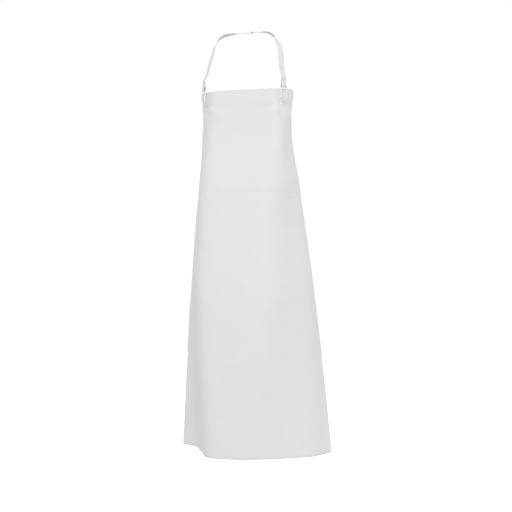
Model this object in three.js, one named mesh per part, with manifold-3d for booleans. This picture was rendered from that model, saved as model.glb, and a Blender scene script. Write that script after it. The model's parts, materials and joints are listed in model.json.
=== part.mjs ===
// Butcher apron: a coated-fabric panel with a bib, hung from a neck strap by two moulded hooks,
// and held round the body by a waist strap with the same hooks. Millimetres, +Z up, front towards -Y.
// The origin is the middle of the neck strap, at the wearer's nape. Sizes are laid out from the hem, whose
// corners stand at zero height, and the whole is then moved to that origin.
import * as THREE from "three";
import { mergeVertices } from "three/addons/utils/BufferGeometryUtils.js";
import Module from "manifold-3d";

const wasm = await Module();
wasm.setup();

// ---- driving dimensions ----
const panelLength = 1200;
const panelWidth = 800;
const bibWidth = 356;
const armholeDepth = 300;
const armholeHollow = 2.3;
const sheetThickness = 1.0;
const layerThickness = 0.8;
const clearance = 0.3;
const layerGap = 0.5;

const hemBand = 22;
const hemBandStart = 1;
const hemBandEndInset = 3;

const patchHalfHeight = 18;
const patchGapToHem = 1.5;
const patchEdgeInset = 5;

const bibEyeletDrop = 45;
const rightBibEyeletAt = 138;
const leftBibEyeletAt = 146;
const waistEyeletDrop = 335;
const waistEyeletInset = 30;

const eyeletHoleRadius = 6;
const eyeletWall = 1.0;
const eyeletFlangeRadius = 9.5;
const eyeletFlangeThickness = 1.4;
const washerThickness = 1.0;
const rollThickness = 0.7;
const rollOverhang = 0.9;

const strapWidth = 18;
const strapThickness = 1.6;
const strapSeam = 30;

const hookReach = 52;
const hookStandOff = 10;
const hookBow = 4;
const hookThickness = 3.4;
const hookRail = 3;
const hookSideGap = 0.8;
const hookBarRadius = 2.3;
const barGap = 0.9;
const noseWidth = 6.8;
const noseLift = 2.25;
const noseBehind = 8.5;
const noseReturn = 13;

const sliderLength = 9;
const sliderWall = 2.4;
const sliderGap = 0.7;
const sliderStraight = 26;

const columns = 44;
const upperRows = 18;
const lowerRows = 10;
const upperDepth = 360;
const roundSides = 20;

// How the hung sheet is bent, at six distances below the bib's top edge: at the edge, half way down the
// armholes, at their ends, a little below those, on the lap, and at the hem. The sheet's middle line stands
// at (x, y). On each side it turns by `turn` degrees about a bend `bend` wide, centred `front` from the
// middle line, and by `sideTurn` more about a bend `sideBend` wide, centred `side` from the middle line.
const lapShare = 4 / 9;
const levels = [
  {
    drop: 0,
    x: -2,
    y: -123,
    right: { front: 104, bend: 26, turn: 38, side: 150, sideBend: 36, sideTurn: -9 },
    left: { front: 101, bend: 36, turn: 37, side: 154, sideBend: 36, sideTurn: -14 },
  },
  {
    drop: 0.5 * armholeDepth,
    x: -2,
    y: -125,
    right: { front: 127, bend: 56, turn: 85, side: 232, sideBend: 120, sideTurn: 20 },
    left: { front: 117, bend: 70, turn: 55, side: 231, sideBend: 120, sideTurn: 19 },
  },
  {
    drop: armholeDepth,
    x: 7,
    y: -148,
    right: { front: 113, bend: 120, turn: 79, side: 260, sideBend: 130, sideTurn: 42 },
    left: { front: 135, bend: 120, turn: 61, side: 269, sideBend: 130, sideTurn: 40 },
  },
  {
    drop: 1.5 * armholeDepth,
    x: 8,
    y: -167,
    right: { front: 99, bend: 130, turn: 72, side: 278, sideBend: 140, sideTurn: 38 },
    left: { front: 138, bend: 116, turn: 61, side: 306, sideBend: 126, sideTurn: 24 },
  },
  {
    drop: armholeDepth + lapShare * (panelLength - armholeDepth),
    x: 13,
    y: -194,
    right: { front: 94, bend: 150, turn: 63, side: 292, sideBend: 160, sideTurn: 42 },
    left: { front: 139, bend: 110, turn: 60, side: 326, sideBend: 120, sideTurn: 5 },
  },
  {
    drop: panelLength,
    x: -13,
    y: -224,
    right: { front: 52, bend: 120, turn: 36, side: 281, sideBend: 140, sideTurn: 41 },
    left: { front: 74, bend: 110, turn: 61, side: 314, sideBend: 70, sideTurn: -30 },
  },
];

// The neck strap's centre line between its two sewn ends, from the right side over the nape to the left:
// x, y and the height above the bib's top edge, then the way its width points at each place.
const neckRoute = [
  [126, -101, 58, 0.5, 0.87, 0],
  [121, -92, 94, 0.6, 0.8, 0],
  [116, -80, 124, 0.66, 0.75, 0.05],
  [105.5, -67, 151, 0.62, 0.77, 0.15],
  [95, -57, 169, 0.5, 0.82, 0.3],
  [80, -46, 185, 0.35, 0.85, 0.42],
  [56, -34, 198, 0.15, 0.86, 0.5],
  [22, -20, 204, 0.05, 0.86, 0.52],
  [-12, -14, 206, 0, 0.86, 0.52],
  [-42, -14, 206, -0.05, 0.86, 0.52],
  [-71, -20, 204, -0.15, 0.86, 0.5],
  [-97, -34, 198, -0.35, 0.84, 0.42],
  [-113, -51, 184, -0.5, 0.8, 0.3],
  [-120, -65, 163, -0.62, 0.76, 0.15],
  [-124, -77, 136, -0.66, 0.74, 0.05],
  [-128, -88, 102, -0.68, 0.73, 0],
  [-134, -98, 58, -0.67, 0.74, 0],
];

// ---- sizes that follow from them ----
const radians = Math.PI / 180;
const eyeletOuterRadius = eyeletHoleRadius + eyeletWall;
const seatRadius = eyeletOuterRadius + clearance;
const pressedRadius = eyeletFlangeRadius + clearance;
const boreReach = eyeletFlangeRadius / 2;
const outerFace = sheetThickness / 2;
const innerFace = -sheetThickness / 2;
const layerOuter = innerFace - layerGap;
const layerInner = layerOuter - layerThickness;
const washerOuter = layerInner - clearance;
const washerInner = washerOuter - washerThickness;
const rollOuter = washerInner - clearance;
const rollInner = rollOuter - rollThickness;
const hookWindow = strapWidth + 2 * hookSideGap;
const hookWidth = hookWindow + 2 * hookRail;
const loopRadius = hookBarRadius + barGap;
const napeStation = (neckRoute.length - 1) / 2;

// ---- helpers ----
function solidOf(geometry) {
  const bare = geometry.clone();
  bare.deleteAttribute("normal");
  bare.deleteAttribute("uv");
  const merged = mergeVertices(bare, 1e-4);
  return new wasm.Manifold(
    new wasm.Mesh({
      numProp: 3,
      vertProperties: new Float32Array(merged.attributes.position.array),
      triVerts: new Uint32Array(merged.index.array),
    }),
  );
}

function geometryOf(solid) {
  const mesh = solid.getMesh();
  const geometry = new THREE.BufferGeometry();
  geometry.setAttribute("position", new THREE.BufferAttribute(mesh.vertProperties, 3));
  geometry.setIndex(new THREE.BufferAttribute(mesh.triVerts, 1));
  return geometry;
}

function placed(geometry, matrix) {
  return geometry.clone().applyMatrix4(matrix);
}

// Smooth step from 0 to 1 while `at` crosses a bend `width` wide, centred on `middle`.
function eased(at, middle, width) {
  const share = THREE.MathUtils.clamp((at - middle) / width + 0.5, 0, 1);
  return share * share * (3 - 2 * share);
}

// ---- the hung sheet ----
// One figure of the levels at a distance below the bib's top edge, by a cubic curve through the levels.
function shapeAt(drop, figure) {
  const last = levels.length - 1;
  let k = 0;
  while (k < last - 1 && drop > levels[k + 1].drop) k += 1;
  const at = (n) => figure(levels[THREE.MathUtils.clamp(n, 0, last)]);
  const place = (n) => levels[THREE.MathUtils.clamp(n, 0, last)].drop;
  const slope = (n) => {
    const low = Math.max(n - 1, 0);
    const high = Math.min(n + 1, last);
    return (at(high) - at(low)) / (place(high) - place(low));
  };
  const span = place(k + 1) - place(k);
  const u = THREE.MathUtils.clamp((drop - place(k)) / span, 0, 1);
  const rise = u * u * (3 - 2 * u);
  const enter = u * (1 - u) * (1 - u) * span;
  const leave = u * u * (u - 1) * span;
  return at(k) * (1 - rise) + at(k + 1) * rise + enter * slope(k) + leave * slope(k + 1);
}

// Half the sheet's flat width: the bib's at the top, curving out along the armhole to the full width.
function halfWidth(drop) {
  const share = THREE.MathUtils.clamp(drop / armholeDepth, 0, 1);
  return (bibWidth + (panelWidth - bibWidth) * share ** armholeHollow) / 2;
}

// A point of the sheet: `across` along the cloth from the middle line, `drop` below the top edge.
function sheetPoint(across, drop) {
  const side = across > 0 ? "right" : "left";
  const figure = {};
  for (const key of ["front", "bend", "turn", "side", "sideBend", "sideTurn"]) {
    figure[key] = shapeAt(drop, (level) => level[side][key]);
  }
  const heading = (s) => {
    const first = figure.turn * eased(s, figure.front, figure.bend);
    const second = figure.sideTurn * eased(s, figure.side, figure.sideBend);
    return (first + second) * radians * Math.sign(across);
  };
  const reach = Math.abs(across);
  const steps = Math.max(1, Math.ceil(reach / 4));
  const step = reach / steps;
  let x = shapeAt(drop, (level) => level.x);
  let y = shapeAt(drop, (level) => level.y);
  for (let i = 0; i < steps; i += 1) {
    const angle = heading((i + 0.5) * step);
    x += Math.cos(angle) * step * Math.sign(across);
    y += Math.sin(angle) * step * Math.sign(across);
  }
  return new THREE.Vector3(x, y, panelLength - drop);
}

// The sheet's own directions at a point: along the cloth, outwards from the wearer, and up the cloth.
function sheetFrame(across, drop) {
  const reach = 0.5;
  const origin = sheetPoint(across, drop);
  const along = sheetPoint(across + reach, drop).sub(sheetPoint(across - reach, drop)).normalize();
  const up = sheetPoint(across, drop - reach).sub(sheetPoint(across, drop + reach)).normalize();
  const out = along.clone().cross(up).normalize();
  up.copy(out).cross(along).normalize();
  return { origin, along, out, up };
}

function frameMatrix({ origin, along, out, up }) {
  return new THREE.Matrix4().makeBasis(along, out.clone().negate(), up).setPosition(origin);
}

// A closed solid between two grids of points, `outer` facing the way that rows x columns turn left.
function slabGeometry(outer, inner) {
  const rows = outer.length;
  const cols = outer[0].length;
  const vertices = [];
  for (const grid of [outer, inner]) {
    for (const row of grid) {
      for (const point of row) vertices.push(point.x, point.y, point.z);
    }
  }
  const index = [];
  const at = (grid, j, i) => grid * rows * cols + j * cols + i;
  const quad = (a, b, c, d) => index.push(a, b, c, a, c, d);
  for (let j = 0; j + 1 < rows; j += 1) {
    for (let i = 0; i + 1 < cols; i += 1) {
      quad(at(0, j, i), at(0, j + 1, i), at(0, j + 1, i + 1), at(0, j, i + 1));
      quad(at(1, j, i), at(1, j, i + 1), at(1, j + 1, i + 1), at(1, j + 1, i));
    }
  }
  for (let j = 0; j + 1 < rows; j += 1) {
    quad(at(0, j, 0), at(1, j, 0), at(1, j + 1, 0), at(0, j + 1, 0));
    quad(at(0, j, cols - 1), at(0, j + 1, cols - 1), at(1, j + 1, cols - 1), at(1, j, cols - 1));
  }
  for (let i = 0; i + 1 < cols; i += 1) {
    quad(at(0, 0, i), at(0, 0, i + 1), at(1, 0, i + 1), at(1, 0, i));
    quad(at(0, rows - 1, i), at(1, rows - 1, i), at(1, rows - 1, i + 1), at(0, rows - 1, i + 1));
  }
  const geometry = new THREE.BufferGeometry();
  geometry.setAttribute("position", new THREE.Float32BufferAttribute(vertices, 3));
  geometry.setIndex(index);
  return geometry;
}

// A layer of the cloth over a grid of (across, drop) places, between two distances from the sheet's middle.
function layerGeometry(places, outerAt, innerAt) {
  const grid = (distance) =>
    places.map((row) =>
      row.map(([across, drop]) => {
        const { origin, out } = sheetFrame(across, drop);
        return origin.addScaledVector(out, distance);
      }),
    );
  return slabGeometry(grid(outerAt), grid(innerAt));
}

function evenly(from, to, steps) {
  return Array.from({ length: steps + 1 }, (_, i) => from + ((to - from) * i) / steps);
}

// ---- eyelets and where they sit ----
const waistEyeletAt = halfWidth(waistEyeletDrop) - waistEyeletInset;
const eyeletPlaces = {
  right_bib: { across: rightBibEyeletAt, drop: bibEyeletDrop },
  left_bib: { across: -leftBibEyeletAt, drop: bibEyeletDrop },
  right_waist: { across: waistEyeletAt, drop: waistEyeletDrop },
  left_waist: { across: -waistEyeletAt, drop: waistEyeletDrop },
};

function eyeletFrame(name) {
  return sheetFrame(eyeletPlaces[name].across, eyeletPlaces[name].drop);
}

// A ring or a turned piece about the eyelet's axis. The profile is [radius, distance outwards] all round.
function turnedGeometry(profile, frame) {
  const points = profile.map(([radius, out]) => new THREE.Vector2(radius, out));
  points.push(points[0].clone());
  const lathe = new THREE.LatheGeometry(points, roundSides);
  const matrix = new THREE.Matrix4().makeBasis(frame.along, frame.out, frame.up.clone().negate());
  return placed(lathe, matrix.setPosition(frame.origin));
}

function eyeletGeometry(name) {
  const flangeSeat = outerFace + clearance;
  const profile = [
    [eyeletHoleRadius, rollInner],
    [eyeletOuterRadius + rollOverhang, rollInner],
    [eyeletOuterRadius + rollOverhang, rollOuter],
    [eyeletOuterRadius, rollOuter],
    [eyeletOuterRadius, flangeSeat],
    [eyeletFlangeRadius, flangeSeat],
    [eyeletFlangeRadius, flangeSeat + eyeletFlangeThickness],
    [eyeletHoleRadius, flangeSeat + eyeletFlangeThickness],
  ];
  return turnedGeometry(profile, eyeletFrame(name));
}

function washerGeometry(name) {
  const profile = [
    [seatRadius, washerInner],
    [eyeletFlangeRadius, washerInner],
    [eyeletFlangeRadius, washerOuter],
    [seatRadius, washerOuter],
  ];
  return turnedGeometry(profile, eyeletFrame(name));
}

// A solid disc about an eyelet's axis, between two distances outwards.
function discSolid(name, radius, low, high) {
  const { origin, along, out, up } = eyeletFrame(name);
  const disc = new THREE.CylinderGeometry(radius, radius, high - low, roundSides);
  disc.translate(0, (low + high) / 2, 0);
  const matrix = new THREE.Matrix4().makeBasis(along, out, up.clone().negate()).setPosition(origin);
  return solidOf(placed(disc, matrix));
}

function eyeletBore(name) {
  return discSolid(name, seatRadius, -boreReach, boreReach);
}

// ---- the panel and the layers welded to its back ----
// The cloth lies flat where an eyelet's flange and washer press it.
function panelGeometry() {
  const drops = [
    ...evenly(0, upperDepth, upperRows),
    ...evenly(upperDepth, panelLength, lowerRows).slice(1),
  ];
  const places = drops.map((drop) =>
    evenly(-halfWidth(drop), halfWidth(drop), columns).map((across) => [across, drop]),
  );
  let panel = solidOf(layerGeometry(places, outerFace, innerFace));
  for (const name of Object.keys(eyeletPlaces)) {
    const pressed = discSolid(name, pressedRadius, outerFace + clearance / 2, boreReach);
    panel = panel.subtract(eyeletBore(name)).subtract(pressed);
  }
  return geometryOf(panel);
}

function hemBandGeometry() {
  const places = evenly(hemBandStart, hemBandStart + hemBand, 1).map((drop) => {
    const row = evenly(-halfWidth(drop), halfWidth(drop), columns);
    row[0] += hemBandEndInset;
    row[columns] -= hemBandEndInset;
    return row.map((across) => [across, drop]);
  });
  return layerGeometry(places, layerOuter, layerInner);
}

// A square of the same cloth behind an eyelet, reaching almost to the sheet's side edge.
function patchGeometry(name) {
  const { across, drop } = eyeletPlaces[name];
  const side = Math.sign(across);
  const nearest = Math.abs(across) - eyeletFlangeRadius - clearance;
  const top = Math.max(drop - patchHalfHeight, hemBandStart + hemBand + patchGapToHem);
  const places = evenly(top, drop + patchHalfHeight, 4).map((at) => {
    const ends = [side * nearest, side * (halfWidth(top) - patchEdgeInset)].sort((a, b) => a - b);
    return evenly(ends[0], ends[1], 6).map((s) => [s, at]);
  });
  const patch = solidOf(layerGeometry(places, layerOuter, layerInner));
  const pressed = discSolid(name, pressedRadius, -boreReach, washerOuter + clearance / 2);
  return geometryOf(patch.subtract(eyeletBore(name)).subtract(pressed));
}

// ---- hooks ----
// A hook's own frame: X across it, Y inwards through the eyelet, Z from the eyelet towards its bar.
function hookFrame(name) {
  const frame = eyeletFrame(name);
  if (name.endsWith("bib")) return frame;
  const towardsEdge = frame.along.clone().multiplyScalar(Math.sign(eyeletPlaces[name].across));
  const across = frame.out.clone().negate().cross(towardsEdge);
  return { origin: frame.origin, along: across, out: frame.out, up: towardsEdge };
}

function barCentre(name) {
  const { origin, out, up } = hookFrame(name);
  return origin.clone().addScaledVector(out, hookStandOff).addScaledVector(up, hookReach);
}

// A strip `thick` through, `width` wide across X, along a smooth line given as [outwards, up] points.
function stripSolid(line, thick, width) {
  const curve = new THREE.SplineCurve(line.map(([out, up]) => new THREE.Vector2(-out, up)));
  const stations = evenly(0, 1, 3 * (line.length - 1));
  const edge = (side) =>
    stations.map((u) => {
      const along = curve.getTangent(u);
      const sideways = new THREE.Vector2(-along.y, along.x);
      return curve.getPoint(u).addScaledVector(sideways, (side * thick) / 2);
    });
  const outline = new THREE.Shape([...edge(1), ...edge(-1).reverse()]);
  const body = new THREE.ExtrudeGeometry(outline, { depth: width, bevelEnabled: false, steps: 1 });
  body.translate(0, 0, -width / 2);
  // the outline's plane (x, y) becomes the hook's (Y, Z), and the depth runs along X
  return solidOf(placed(body, new THREE.Matrix4().set(0, 0, 1, 0, 1, 0, 0, 0, 0, 1, 0, 0, 0, 0, 0, 1)));
}

// What a hook looks like from the front: full width at its bar, tapering to the nose.
function hookFaceSolid() {
  const wide = hookWidth / 2;
  const narrow = noseWidth / 2;
  const side = hookWindow / 2;
  const sill = 0.36 * hookReach;
  const top = hookReach + hookBarRadius;
  const outline = new THREE.Shape();
  outline.moveTo(-wide, top);
  outline.lineTo(-wide, 0.4 * hookReach);
  outline.bezierCurveTo(-wide, 0.2 * hookReach, -narrow, 0.24 * hookReach, -narrow, 0);
  outline.lineTo(-narrow, -hookThickness);
  outline.lineTo(narrow, -hookThickness);
  outline.lineTo(narrow, 0);
  outline.bezierCurveTo(narrow, 0.24 * hookReach, wide, 0.2 * hookReach, wide, 0.4 * hookReach);
  outline.lineTo(wide, top);
  outline.lineTo(side, top);
  outline.lineTo(side, sill);
  outline.quadraticCurveTo(0, sill - 0.12 * hookReach, -side, sill);
  outline.lineTo(-side, top);
  const depth = 4 * hookStandOff;
  const face = new THREE.ExtrudeGeometry(outline, { depth, bevelEnabled: false, curveSegments: 8 });
  face.translate(0, 0, -depth / 2);
  return solidOf(face.rotateX(Math.PI / 2));
}

function hookGeometry(name) {
  const shank = [
    [hookStandOff, hookReach + hookBarRadius],
    [hookStandOff + 0.5, 0.8 * hookReach],
    [hookStandOff + hookBow, 0.5 * hookReach],
    [hookStandOff + 0.8 * hookBow, 0.26 * hookReach],
    [0.82 * hookStandOff, 0.09 * hookReach],
    [0.45 * hookStandOff, noseLift + 0.1],
    [outerFace, noseLift],
  ];
  const nose = [
    [0.4 * hookStandOff, noseLift],
    [outerFace, noseLift],
    [-0.55 * noseBehind, noseLift],
    [-0.92 * noseBehind, noseLift + 2],
    [-noseBehind, 0.5 * noseReturn],
    [-noseBehind, noseReturn],
  ];
  const bar = new THREE.CylinderGeometry(hookBarRadius, hookBarRadius, hookWidth, 12);
  bar.rotateZ(Math.PI / 2).translate(0, -hookStandOff, hookReach);
  const hook = stripSolid(shank, hookThickness, hookWidth)
    .intersect(hookFaceSolid())
    .add(stripSolid(nose, hookThickness, noseWidth))
    .add(solidOf(bar));
  return placed(geometryOf(hook), frameMatrix(hookFrame(name)));
}

// ---- straps ----
// The sewn loop of strap round a hook's bar, and the two layers above it, in the hook's frame.
function strapEndSolid(name) {
  const outerRadius = loopRadius + strapThickness;
  const meet = 2.6 * outerRadius;
  const spread = 15 * radians;
  const outline = new THREE.Shape();
  outline.moveTo(strapThickness, strapSeam);
  outline.lineTo(-strapThickness, strapSeam);
  outline.lineTo(-strapThickness, meet);
  outline.lineTo(-outerRadius * Math.cos(spread), outerRadius * Math.sin(spread));
  outline.absarc(0, 0, outerRadius, Math.PI - spread, 2 * Math.PI + spread, false);
  outline.lineTo(strapThickness, meet);
  const inside = new THREE.Path();
  inside.moveTo(0, 2.4 * loopRadius);
  inside.lineTo(-loopRadius * Math.cos(spread), loopRadius * Math.sin(spread));
  inside.absarc(0, 0, loopRadius, Math.PI - spread, 2 * Math.PI + spread, false);
  outline.holes.push(inside);
  const options = { depth: strapWidth, bevelEnabled: false, curveSegments: 14 };
  const body = new THREE.ExtrudeGeometry(outline, options).translate(0, 0, -strapWidth / 2);
  const turned = new THREE.Matrix4().set(0, 0, 1, 0, 1, 0, 0, 0, 0, 1, 0, 0, 0, 0, 0, 1);
  const frame = hookFrame(name);
  return solidOf(placed(placed(body, turned), frameMatrix({ ...frame, origin: barCentre(name) })));
}

// A flat strap along a line of stations, each with its point and the way its width points.
function ribbonSolid(stations) {
  const outer = [];
  const inner = [];
  stations.forEach(({ point, width }, k) => {
    const before = stations[Math.max(k - 1, 0)].point;
    const after = stations[Math.min(k + 1, stations.length - 1)].point;
    const along = after.clone().sub(before).normalize();
    const across = width.clone().addScaledVector(along, -width.dot(along)).normalize();
    const out = along.clone().cross(across).normalize();
    const edge = (distance, side) =>
      point.clone().addScaledVector(out, distance).addScaledVector(across, (side * strapWidth) / 2);
    outer.push([edge(strapThickness / 2, -1), edge(strapThickness / 2, 1)]);
    inner.push([edge(-strapThickness / 2, -1), edge(-strapThickness / 2, 1)]);
  });
  const made = solidOf(slabGeometry(outer, inner));
  return made.volume() < 0 ? solidOf(slabGeometry(inner, outer)) : made;
}

// The point on a sewn end where the single strap takes over, and the way its width points there.
function seamStation(name, share) {
  const frame = hookFrame(name);
  const point = barCentre(name).addScaledVector(frame.up, share * strapSeam);
  return { point, width: frame.along.clone() };
}

function alongCurve(stations, count) {
  const line = new THREE.CatmullRomCurve3(stations.map(({ point }) => point));
  const turn = new THREE.CatmullRomCurve3(stations.map(({ width }) => width));
  return evenly(0, 1, count).map((u) => ({ point: line.getPoint(u), width: turn.getPoint(u) }));
}

function neckStation(k) {
  const [x, y, rise, ...width] = neckRoute[k];
  return { point: new THREE.Vector3(x, y, panelLength + rise), width: new THREE.Vector3(...width) };
}

function neckStrapGeometry() {
  const route = neckRoute.map((_, k) => neckStation(k));
  const rightEnd = [seamStation("right_bib", 0.55), seamStation("right_bib", 0.95)];
  const leftEnd = [seamStation("left_bib", 0.95), seamStation("left_bib", 0.55)];
  leftEnd.forEach(({ width }) => width.negate());
  const strap = ribbonSolid(alongCurve([...rightEnd, ...route, ...leftEnd], 72));
  return geometryOf(strap.add(strapEndSolid("right_bib")).add(strapEndSolid("left_bib")));
}

// The waist strap bows round the wearer's back between its two sewn ends, straight in the middle.
function waistStrapStations() {
  const right = seamStation("right_waist", 0.55);
  const left = seamStation("left_waist", 0.55);
  const chord = left.point.clone().sub(right.point);
  const middle = right.point.clone().addScaledVector(chord, 0.5);
  const level = chord.clone().normalize();
  const bow = hookFrame("right_waist").up.clone().add(hookFrame("left_waist").up).normalize();
  middle.addScaledVector(bow, 0.17 * chord.length());
  const upright = new THREE.Vector3(0, 0, 1);
  const station = (point) => ({ point, width: upright.clone() });
  const at = (distance) => station(middle.clone().addScaledVector(level, distance));
  const curveTo = (end, name, from) => {
    const reach = 0.3 * chord.length();
    const handle = end.point.clone().addScaledVector(hookFrame(name).up, reach);
    const away = level.clone().multiplyScalar(Math.sign(from) * reach * 0.9);
    const start = at(from).point;
    return new THREE.CubicBezierCurve3(end.point, handle, start.clone().add(away), start);
  };
  const rightCurve = curveTo(right, "right_waist", -sliderStraight);
  const leftCurve = curveTo(left, "left_waist", sliderStraight);
  const bent = (curve) => evenly(0, 1, 16).map((u) => station(curve.getPoint(u)));
  return [...bent(rightCurve), at(0), ...bent(leftCurve).reverse()];
}

function waistStrapGeometry() {
  const strap = ribbonSolid(waistStrapStations());
  return geometryOf(strap.add(strapEndSolid("right_waist")).add(strapEndSolid("left_waist")));
}

// ---- sliders ----
// A flat moulded ring that a strap passes through: X across the strap, Y along it, Z through it.
function sliderGeometry(point, along, width) {
  const slotWidth = strapWidth + 2 * sliderGap;
  const slotHeight = strapThickness + 2 * sliderGap;
  const half = { w: slotWidth / 2 + sliderWall, h: slotHeight / 2 + 0.7 * sliderWall };
  const outline = new THREE.Shape();
  outline.moveTo(-half.w, -half.h);
  outline.lineTo(half.w, -half.h);
  outline.lineTo(half.w, half.h);
  outline.lineTo(-half.w, half.h);
  const slot = new THREE.Path();
  slot.moveTo(-slotWidth / 2, -slotHeight / 2);
  slot.lineTo(slotWidth / 2, -slotHeight / 2);
  slot.lineTo(slotWidth / 2, slotHeight / 2);
  slot.lineTo(-slotWidth / 2, slotHeight / 2);
  outline.holes.push(slot);
  const ring = new THREE.ExtrudeGeometry(outline, { depth: sliderLength, bevelEnabled: false });
  ring.translate(0, 0, -sliderLength / 2);
  const across = width.clone().addScaledVector(along, -width.dot(along)).normalize();
  const through = along.clone().cross(across).normalize();
  return placed(ring, new THREE.Matrix4().makeBasis(across, through, along).setPosition(point));
}

function neckSliderGeometry() {
  const along = neckStation(napeStation + 1).point.sub(neckStation(napeStation - 1).point);
  const { point, width } = neckStation(napeStation);
  return sliderGeometry(point, along.normalize(), width);
}

function waistSliderGeometry() {
  const stations = waistStrapStations();
  const middle = (stations.length - 1) / 2;
  const along = stations[middle + 1].point.clone().sub(stations[middle - 1].point).normalize();
  return sliderGeometry(stations[middle].point, along, stations[middle].width);
}

// ---- materials ----
const coatedFabric = new THREE.MeshStandardMaterial({ color: 0xe9e9e9, roughness: 0.55, metalness: 0 });
const whitePlastic = new THREE.MeshStandardMaterial({ color: 0xf2f2f0, roughness: 0.35, metalness: 0 });
const webbing = new THREE.MeshStandardMaterial({ color: 0xe4e4e2, roughness: 0.85, metalness: 0 });

// ---- assembly ----
const apron = new THREE.Group();
apron.position.copy(neckStation(napeStation).point).negate();

function addPart(name, geometry, material) {
  const mesh = new THREE.Mesh(geometry, material);
  mesh.name = name;
  apron.add(mesh);
}

addPart("apron_panel", panelGeometry(), coatedFabric);
addPart("bib_hem_band", hemBandGeometry(), coatedFabric);
for (const name of Object.keys(eyeletPlaces)) {
  addPart(`${name}_patch`, patchGeometry(name), coatedFabric);
  addPart(`${name}_eyelet`, eyeletGeometry(name), whitePlastic);
  addPart(`${name}_washer`, washerGeometry(name), whitePlastic);
  addPart(`${name}_hook`, hookGeometry(name), whitePlastic);
}
addPart("neck_strap", neckStrapGeometry(), webbing);
addPart("neck_slider", neckSliderGeometry(), whitePlastic);
addPart("waist_strap", waistStrapGeometry(), webbing);
addPart("waist_slider", waistSliderGeometry(), whitePlastic);

export default apron;
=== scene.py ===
import json
import math

import bpy
import bmesh
import numpy as np
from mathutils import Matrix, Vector

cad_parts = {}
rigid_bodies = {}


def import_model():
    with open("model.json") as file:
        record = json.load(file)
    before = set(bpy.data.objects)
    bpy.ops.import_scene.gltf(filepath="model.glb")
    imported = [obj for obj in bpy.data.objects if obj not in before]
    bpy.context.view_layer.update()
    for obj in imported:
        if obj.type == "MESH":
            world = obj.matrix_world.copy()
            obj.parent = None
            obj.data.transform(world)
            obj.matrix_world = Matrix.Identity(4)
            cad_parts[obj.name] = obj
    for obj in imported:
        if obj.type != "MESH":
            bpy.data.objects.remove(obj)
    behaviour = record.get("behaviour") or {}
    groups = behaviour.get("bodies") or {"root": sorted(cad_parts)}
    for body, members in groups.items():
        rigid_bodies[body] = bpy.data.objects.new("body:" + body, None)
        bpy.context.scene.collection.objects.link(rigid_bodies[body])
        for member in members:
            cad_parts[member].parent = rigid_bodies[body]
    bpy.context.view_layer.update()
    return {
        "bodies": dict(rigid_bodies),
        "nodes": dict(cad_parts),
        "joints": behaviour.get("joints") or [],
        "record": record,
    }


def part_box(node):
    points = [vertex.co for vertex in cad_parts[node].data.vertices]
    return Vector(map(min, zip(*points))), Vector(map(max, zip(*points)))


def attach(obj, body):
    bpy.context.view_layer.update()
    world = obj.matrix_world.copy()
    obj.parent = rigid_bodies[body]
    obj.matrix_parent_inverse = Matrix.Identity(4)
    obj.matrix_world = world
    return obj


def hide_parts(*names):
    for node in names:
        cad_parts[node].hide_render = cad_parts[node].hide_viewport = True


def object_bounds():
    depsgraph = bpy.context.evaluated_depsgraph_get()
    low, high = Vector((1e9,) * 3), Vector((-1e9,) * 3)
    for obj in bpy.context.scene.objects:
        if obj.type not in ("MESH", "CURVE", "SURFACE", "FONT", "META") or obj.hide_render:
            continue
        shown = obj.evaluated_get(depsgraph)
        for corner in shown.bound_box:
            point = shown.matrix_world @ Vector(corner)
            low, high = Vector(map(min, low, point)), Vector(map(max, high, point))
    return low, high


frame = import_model()
print("frame loaded,", len(frame["nodes"]), "nodes")

# ---- camera, a long lens at waist height, a little to the apron's right-hand side ----
viewpoint = {
    "aim": (0.012, 0.014),    # the upright line that it looks at
    "bearing": 20.3,          # degrees round from straight in front
    "distance": 4.2,
    "height": -0.752,         # below the nape
    "lens": 87.5,
}


def setCamera():
    data = bpy.data.cameras.new("studioCamera")
    data.lens = viewpoint["lens"]
    data.sensor_width = 36.0
    camera = bpy.data.objects.new("studioCamera", data)
    bpy.context.scene.collection.objects.link(camera)
    turn = math.radians(viewpoint["bearing"])
    aimX, aimY = viewpoint["aim"]
    camera.location = (
        aimX + viewpoint["distance"] * math.sin(turn),
        aimY - viewpoint["distance"] * math.cos(turn),
        viewpoint["height"],
    )
    camera.rotation_euler = (math.pi / 2, 0, turn)
    bpy.context.scene.camera = camera


setCamera()

# ---- small helpers ----


# smooth step from 0 to 1 while `at` crosses a bend `width` wide, centred on `middle`: 3u^2 - 2u^3
def eased(at, middle, width):
    share = np.clip((at - middle) / width + 0.5, 0, 1)
    return share * share * (3 - 2 * share)


# a bell of height 1 centred on `middle`: e to the minus ((at - middle) / width) squared
def bell(at, middle, width):
    return np.exp(-(((at - middle) / width) ** 2))


def unit(vectors):
    return vectors / np.linalg.norm(vectors, axis=-1, keepdims=True)


# quads over a grid of rows x cols points, in order, joined round on itself where it wraps
def gridFaces(rows, cols, wrapRows=False, wrapCols=False):
    j = np.arange(rows if wrapRows else rows - 1)[:, None]
    i = np.arange(cols if wrapCols else cols - 1)[None, :]
    nextJ, nextI = (j + 1) % rows, (i + 1) % cols
    corners = (j * cols + i, j * cols + nextI, nextJ * cols + nextI, nextJ * cols + i)
    return np.stack(np.broadcast_arrays(*corners), -1).reshape(-1, 4)


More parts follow.
